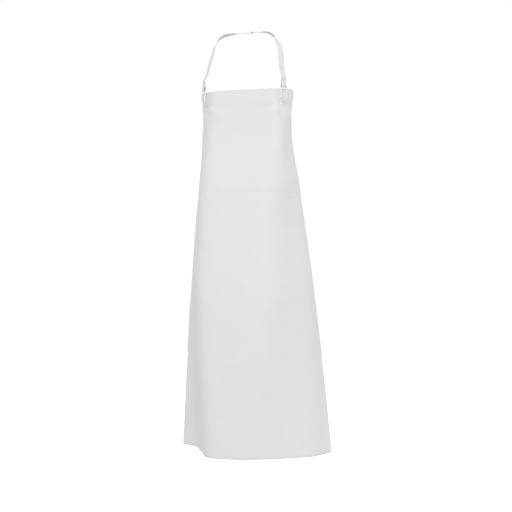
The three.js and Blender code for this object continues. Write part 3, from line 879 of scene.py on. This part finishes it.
# the middle of the hook's bar, with the hook's directions
def barFrame(name):
    origin, across, out, up = hookFrame(name)
    return origin + out * hook["standOff"] + up * hook["reach"], across, out, up


# a superellipse outline, the square root of a circle's squareness: |x/a|^n + |y/b|^n = 1
def softBox(halfX, halfY, squareness, count):
    angle = fullTurn(count)
    c, s = np.cos(angle), np.sin(angle)
    power = 2 / squareness
    return np.stack((halfX * np.sign(c) * np.abs(c) ** power, halfY * np.sign(s) * np.abs(s) ** power), -1)


# a soft-boxed bar carried along a line of (x, out, up, half width) points, drawn in to a round end at
# both ends
def bar(line, halfThick, count=64, squareness=4.0, roundEnd=0.0012):
    line = throughPoints(line, count)
    line, halfWide = line[:, :3], line[:, 3][:, None, None]
    along = unit(np.gradient(line, axis=0))
    side = unit(np.array((1.0, 0, 0)) - along * along[:, :1])
    normal = np.cross(along, side)
    reach = distanceAlong(line)
    near = np.minimum(reach, reach[-1] - reach) / max(roundEnd, 1e-9)
    scale = np.sqrt(1 - np.clip(1 - near, 0, 0.97) ** 2)[:, None, None]
    outline = softBox(1.0, 1.0, squareness, 24)[None]
    points = line[:, None] + side[:, None] * outline[..., :1] * halfWide * scale
    return points + normal[:, None] * outline[..., 1:] * halfThick * scale


# the hook in its own frame, (x, out, up): two rails, a web between them, a nose and a round bar, made one
def hookShape():
    h = hook
    shankLine, noseLine = hookLines()
    shank = throughPoints([(0, o, u, h["railWidth"] / 2) for o, u in shankLine], 72)
    narrow = 0.5 * (h["noseWidth"] - h["railWidth"])
    spread = narrow + (h["railMiddle"] - narrow) * eased(shank[:, 2], h["spreadMiddle"], h["spreadWidth"])
    shells = []
    for side in (-1, 1):
        line = shank.copy()
        line[:, 0] = side * spread
        shells.append(bar(line, h["thickness"] / 2, 72))
    web = shank.copy()
    web[:, 3] = spread
    web = web[web[:, 2] < h["sill"] - h["sillDip"]]
    shells.append(bar(web, h["webThickness"] / 2, 40, 6.0, 0.0008))
    shells.append(bar([(0, o, u, h["noseWidth"] / 2) for o, u in noseLine], h["thickness"] / 2, 60))
    tip = h["railMiddle"] + 0.3 * h["railWidth"]
    pin = np.array([(x, h["standOff"], h["reach"]) for x in np.linspace(-tip, tip, 5)])
    angle = fullTurn(24)
    ring = np.stack((0 * angle, np.cos(angle), np.sin(angle)), -1) * h["barRadius"]
    shells.append(pin[:, None] + ring[None])
    points, faces, ends, start = [], [], [], 0
    for shell in shells:
        rows, cols = shell.shape[:2]
        points.append(shell.reshape(-1, 3))
        faces.append(gridFaces(rows, cols, wrapCols=True) + start)
        ends += [range(start, start + cols), range(start + (rows - 1) * cols, start + rows * cols)]
        start += rows * cols
    rough = makePiece("hookParts", np.concatenate(points), np.concatenate(faces), ends)
    fused = rough.modifiers.new("fused", "REMESH")
    fused.mode, fused.voxel_size = "VOXEL", h["voxel"]
    soft = rough.modifiers.new("polished", "SMOOTH")
    soft.iterations, soft.factor = h["smoothing"], 0.5
    made = bpy.data.meshes.new_from_object(rough.evaluated_get(bpy.context.evaluated_depsgraph_get()))
    place = np.zeros(len(made.vertices) * 3, np.float32)
    made.vertices.foreach_get("co", place)
    quads = [list(p.vertices) for p in made.polygons]
    bpy.data.objects.remove(rough)
    return place.reshape(-1, 3).astype(float), quads


hookPoints, hookQuads = hookShape()


def makeHook(name, body):
    origin, across, out, up = hookFrame(name)
    place = origin + hookPoints[:, :1] * across + hookPoints[:, 1:2] * out + hookPoints[:, 2:] * up
    piece = makePiece(joinedName(name, "Hook"), place, np.zeros((0, 4), int), hookQuads)
    return finishPiece(piece, body, hookLook, "white_plastic", name + "_hook")


for name in eyeletAt:
    makeHook(name, "neck_hooks" if name.endswith("bib") else "waist_hooks")
print("hooks made,", len(hookQuads), "faces each")

# ---- straps ----
strap = {
    "width": 0.018,
    "thickness": 0.0015,
    "seam": 0.030,            # how far the sewn-back tail reaches up from the bar
    "loopRadius": 0.0040,
    "layer": 0.0008,
    "edgeRound": 3.2,
    "cup": 0.0006,            # the tape's edges curl this far out of its middle
    "cupWave": 0.21,          # in and out again over this length
    "cupStart": 0.11,         # but not within this of an end
    "tailPlaces": (0.022, 0.0145),   # up from the bar, with both layers flat
    "pinch": (0.0024, 0.0085),       # where they come together over the bar
    "neckSteps": 420,
    "waistSteps": 300,
    "waistBow": 0.17,         # these three are shares of the gap between its ends
    "waistLeave": 0.3,
    "waistArrive": 0.27,
    "sliderStraight": 0.026,
    # the neck strap's middle line from right to left, and the way its width points
    "neckRoute": (
        (0.1405, -0.087, -0.148, 0.75, 0.62, 0),
        (0.134, -0.078, -0.112, 0.85, 0.5, 0),
        (0.128, -0.066, -0.082, 0.9, 0.4, -0.05),
        (0.1175, -0.053, -0.055, 0.9, 0.42, -0.1),
        (0.107, -0.043, -0.037, 0.5, 0.75, -0.45),
        (0.092, -0.032, -0.021, 0.08, 0.78, -0.62),
        (0.068, -0.02, -0.008, 0.03, 0.9, -0.35),
        (0.034, -0.006, -0.002, 0.02, 0.95, 0.22),
        (0, 0, 0, 0, 0.95, 0.3),
        (-0.03, 0, 0, -0.02, 0.95, 0.25),
        (-0.059, -0.006, -0.002, -0.1, 0.93, -0.05),
        (-0.085, -0.02, -0.008, -0.2, 0.9, -0.35),
        (-0.101, -0.037, -0.022, -0.4, 0.84, -0.4),
        (-0.108, -0.051, -0.043, -0.65, 0.7, -0.25),
        (-0.1125, -0.063, -0.07, -0.8, 0.6, -0.1),
        (-0.118, -0.074, -0.104, -0.8, 0.6, 0),
        (-0.1265, -0.084, -0.148, -0.75, 0.66, 0),
    ),
}


# a strap's sewn end as (x, y, z, width direction) points: from the cut tail behind, down round the
# hook's bar, and up in front to where the strap goes on alone
def sewnEnd(name, flip):
    bar, across, out, up = barFrame(name)
    layer, radius = strap["layer"], strap["loopRadius"]
    upper, lower = strap["tailPlaces"]
    apart, pinch = strap["pinch"]
    tail = [(-layer, strap["seam"] - 0.001), (-layer, upper), (-layer, lower), (-apart, pinch)]
    turn = np.radians(np.arange(165, 376, 15))
    loop = np.stack((np.cos(turn), np.sin(turn)), -1) * radius
    rise = [(apart, pinch), (layer, lower), (layer, upper), (0.6 * layer, strap["seam"])]
    flat = np.concatenate((tail, loop, rise))
    points = bar + flat[:, :1] * out + flat[:, 1:] * up
    return np.concatenate((points, np.broadcast_to(across * flip, points.shape)), 1)


# a flat tape along stations of (x, y, z, width direction): a soft box, cupped a little, with its own map
# of across and along in metres
def makeTape(name, stations, count, body, node):
    line = throughPoints(stations, count)
    place, width = line[:, :3], line[:, 3:]
    along = unit(np.gradient(place, axis=0))
    width = unit(width - along * (width * along).sum(-1, keepdims=True))
    normal = np.cross(along, width)
    outline = softBox(strap["width"] / 2, strap["thickness"] / 2, strap["edgeRound"], 36)
    share = outline[:, :1] / (strap["width"] / 2)
    reach = distanceAlong(place)
    wave = np.sin(2 * math.pi * reach / strap["cupWave"] + 0.8)
    ripple = strap["cup"] * (share ** 2 - 0.4) * wave[:, None, None]
    quiet = np.minimum(reach, reach[-1] - reach) / strap["cupStart"]
    ripple = ripple * eased(quiet, 0.9, 0.5)[:, None, None]
    points = place[:, None] + width[:, None] * outline[None, :, :1]
    points = points + normal[:, None] * (outline[None, :, 1:] + ripple)
    flat = np.stack(np.broadcast_arrays(outline[None, :, 0], reach[:, None]), -1)
    cols = len(outline)
    ends = (range(cols), range((count - 1) * cols, count * cols))
    piece = makePiece(name, points, gridFaces(count, cols, wrapCols=True), ends, flat)
    finishPiece(piece, body, tapeLook, "strap_webbing", node)
    return reach[-1]


def bezier(a, b, c, d, count):
    u = np.linspace(0, 1, count)[:, None]
    return a * (1 - u) ** 3 + 3 * b * u * (1 - u) ** 2 + 3 * c * u * u * (1 - u) + d * u ** 3


neckStations = np.concatenate((
    sewnEnd("right_bib", 1),
    np.array(strap["neckRoute"]),
    sewnEnd("left_bib", -1)[::-1],
))
neckLength = makeTape("neckStrap", neckStations, strap["neckSteps"], "neck_strap", "neck_strap")


# the waist strap leaves each hook along its reach, bows round the wearer's back, and runs straight
# through its slider
def waistStations():
    right, left = sewnEnd("right_waist", 1), sewnEnd("left_waist", 1)
    rightUp, leftUp = hookFrame("right_waist")[3], hookFrame("left_waist")[3]
    chord = left[-1, :3] - right[-1, :3]
    span = np.linalg.norm(chord)
    level = chord / span
    middle = right[-1, :3] + chord / 2 + unit(rightUp + leftUp) * strap["waistBow"] * span
    runs = []
    for end, up, side in ((right, rightUp, -1), (left, leftUp, 1)):
        start = middle + level * side * strap["sliderStraight"]
        away = start + level * side * strap["waistArrive"] * span
        leave = end[-1, :3] + up * strap["waistLeave"] * span
        runs.append(bezier(end[-1, :3], leave, away, start, 17)[1:])
    upright = np.array((0, 0, 1.0))
    joined = np.concatenate((runs[0], middle[None], runs[1][::-1]))
    joined = np.concatenate((joined, np.broadcast_to(upright, joined.shape)), 1)
    for end in (right, left):
        end[:, 3:] *= math.copysign(1, end[0, 3:] @ upright)
    return np.concatenate((right, joined, left[::-1])), middle, level


waistLine, waistMiddle, waistLevel = waistStations()
waistLength = makeTape("waistStrap", waistLine, strap["waistSteps"], "waist_strap", "waist_strap")
print(f"straps made, {neckLength:.3f} and {waistLength:.3f} m of tape")

# ---- stitching on the sewn ends ----
stitching = {
    "length": 0.0022,
    "pitch": 0.0030,
    "thread": 0.00035,
    "boxLow": 0.0125,
    "boxHigh": 0.0270,
    "boxHalf": 0.0070,
    "lift": 0.0016,
    "sides": 6,
    "rings": 5,
}


# a line of stitches between two places of the (across, up) plane
def stitchLine(a, b):
    a, b = np.asarray(a, float), np.asarray(b, float)
    length = np.linalg.norm(b - a)
    count = max(2, int(round(length / stitching["pitch"])))
    middles = a + (b - a) * ((np.arange(count) + 0.5) / count)[:, None]
    return np.concatenate((middles, np.broadcast_to(unit(b - a), middles.shape)), 1)


# each stitch is a thin spindle: its radius falls away to both ends as the cosine of its length
def makeStitching(name, body):
    bar, across, out, up = barFrame(name)
    low, high, half = stitching["boxLow"], stitching["boxHigh"], stitching["boxHalf"]
    corners = [(-half, low), (half, low), (half, high), (-half, high)]
    pairs = [(0, 1), (1, 2), (2, 3), (3, 0), (0, 2), (1, 3)]
    rows = np.concatenate([stitchLine(corners[a], corners[b]) for a, b in pairs])
    rows = np.concatenate((np.c_[rows, np.ones(len(rows))], np.c_[rows, -np.ones(len(rows))]))
    middle = bar + rows[:, :1] * across + rows[:, 1:2] * up + rows[:, 4:] * stitching["lift"] * out
    lie = rows[:, 2:3] * across + rows[:, 3:4] * up
    side = unit(np.cross(lie, out))
    sides, rings = stitching["sides"], stitching["rings"]
    angle = fullTurn(sides)
    along = np.linspace(-0.98, 0.98, rings)
    thin = np.cos(along * math.pi / 2) ** 0.6 * stitching["thread"]
    ring = side[:, None] * np.cos(angle)[None, :, None] + out * np.sin(angle)[None, :, None]
    run = (along * stitching["length"] / 2)[None, :, None, None]
    points = middle[:, None, None] + lie[:, None, None] * run
    points = points + ring[:, None] * thin[None, :, None, None]
    single = gridFaces(rings, sides, wrapCols=True)
    each = rings * sides
    starts = np.arange(len(rows)) * each
    faces = (single[None] + starts[:, None, None]).reshape(-1, 4)
    ends = [range(s, s + sides) for s in starts] + [range(s + each - sides, s + each) for s in starts]
    piece = makePiece(joinedName(name, "Stitching"), points, faces, ends)
    return finishPiece(piece, body, threadLook, "strap_webbing")


for name in eyeletAt:
    makeStitching(name, "neck_strap" if name.endswith("bib") else "waist_strap")
print("stitching made")

# ---- sliders: a flat moulded ring round each strap ----
slider = {
    "length": 0.009,
    "wall": 0.0024,
    "faceWall": 0.0017,
    "gap": 0.0007,
    "round": 0.0009,
    "cornerSquareness": 7.0,
    "tapeHalf": 0.0008,       # half the tape's thickness, where it passes through
    "sides": 96,
}


def makeSlider(name, middle, along, width, body, node):
    s = slider
    width = unit(width - along * (width @ along))
    normal = np.cross(along, width)
    insideX, insideY = strap["width"] / 2 + s["gap"], s["tapeHalf"] + s["gap"]
    corner = rounded(np.array([(0, -1), (1, -1), (1, 1), (0, 1)]) * (s["wall"], s["length"] / 2), s["round"])
    wall, run = corner[:, 0] / s["wall"], corner[:, 1]
    inner = softBox(insideX, insideY, s["cornerSquareness"], s["sides"])
    outer = softBox(insideX + s["wall"], insideY + s["faceWall"], 0.7 * s["cornerSquareness"], s["sides"])
    place = inner[:, None] + (outer - inner)[:, None] * wall[None, :, None]
    points = middle + place[..., :1] * width + place[..., 1:] * normal + run[None, :, None] * along
    piece = makePiece(name, points, gridFaces(s["sides"], len(run), True, True))
    return finishPiece(piece, body, hookLook, "white_plastic", node)


neckMiddle = np.array(strap["neckRoute"][8])
neckAlong = unit(np.array(strap["neckRoute"][9][:3]) - np.array(strap["neckRoute"][7][:3]))
makeSlider("neckSlider", neckMiddle[:3], neckAlong, neckMiddle[3:], "neck_slider", "neck_slider")
makeSlider("waistSlider", waistMiddle, waistLevel, np.array((0, 0, 1.0)), "waist_slider", "waist_slider")
print("sliders made")

# ---- studio ----
studio = {
    "floorBelow": 0.26,
    "floorSize": 14.0,
    "skyHigh": 0.98,          # how bright the studio is the way that it leans,
    "skyLow": 0.60,           # and the opposite way
    "skyLean": (0.36, -0.12, 0.92),
    "paperGlow": 0.6,
    "keyAim": (0.03, -0.15, -0.55),
    "keyPlace": (0.5, -2.9, 1.3),
    "keySize": 1.6,
    "keyPower": 21.0,
}


def makeStudio():
    low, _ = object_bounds()
    half = studio["floorSize"] / 2
    z = low.z - studio["floorBelow"]
    corners = np.array([(-half, -half, z), (half, -half, z), (half, half, z), (-half, half, z)])
    floor = makePiece("studioFloor", corners, np.array([[0, 1, 2, 3]]), closed=False)
    # matt white paper, lit until it has no shade of its own
    paper, _, shader = newMaterial("whitePaper", Roughness=0.9)
    shader.inputs["Base Color"].default_value = linearColour("#fbfbfb")
    shader.inputs["Emission Color"].default_value = linearColour("#ffffff")
    shader.inputs["Emission Strength"].default_value = studio["paperGlow"]
    floor.data.materials.append(paper)
    floor.visible_diffuse = False
    floor.visible_glossy = False

    world = bpy.data.worlds.new("studioLight")
    world.use_nodes = True
    tree = world.node_tree
    tree.nodes.clear()
    place = addNode(tree, "TexCoord").outputs["Generated"]
    height = addNode(tree, "VectorMath", {1: studio["skyLean"]}, {0: place},
                     operation="DOT_PRODUCT").outputs["Value"]
    strength = addNode(tree, "MapRange", {"From Min": -1.0, "From Max": 1.0, "To Min": studio["skyLow"],
                                          "To Max": studio["skyHigh"]}, {"Value": height}).outputs[0]
    seen = addNode(tree, "LightPath").outputs["Is Camera Ray"]
    bright = addNode(tree, "Mix", data_type="FLOAT")
    tree.links.new(seen, bright.inputs[0])
    tree.links.new(strength, bright.inputs[2])
    bright.inputs[3].default_value = 1.0
    sky = addNode(tree, "Background", {"Color": (1, 1, 1, 1)}, {"Strength": bright.outputs[0]})
    out = addNode(tree, "OutputWorld")
    tree.links.new(sky.outputs[0], out.inputs[0])
    bpy.context.scene.world = world

    data = bpy.data.lights.new("softbox", "AREA")
    data.size = studio["keySize"]
    data.energy = studio["keyPower"]
    key = bpy.data.objects.new("softbox", data)
    bpy.context.scene.collection.objects.link(key)
    key.location = studio["keyPlace"]
    aim = np.array(studio["keyAim"]) - np.array(studio["keyPlace"])
    key.rotation_euler = Vector(aim).to_track_quat("-Z", "Y").to_euler()


makeStudio()
bpy.context.scene.view_settings.view_transform = "Standard"
print("studio made")
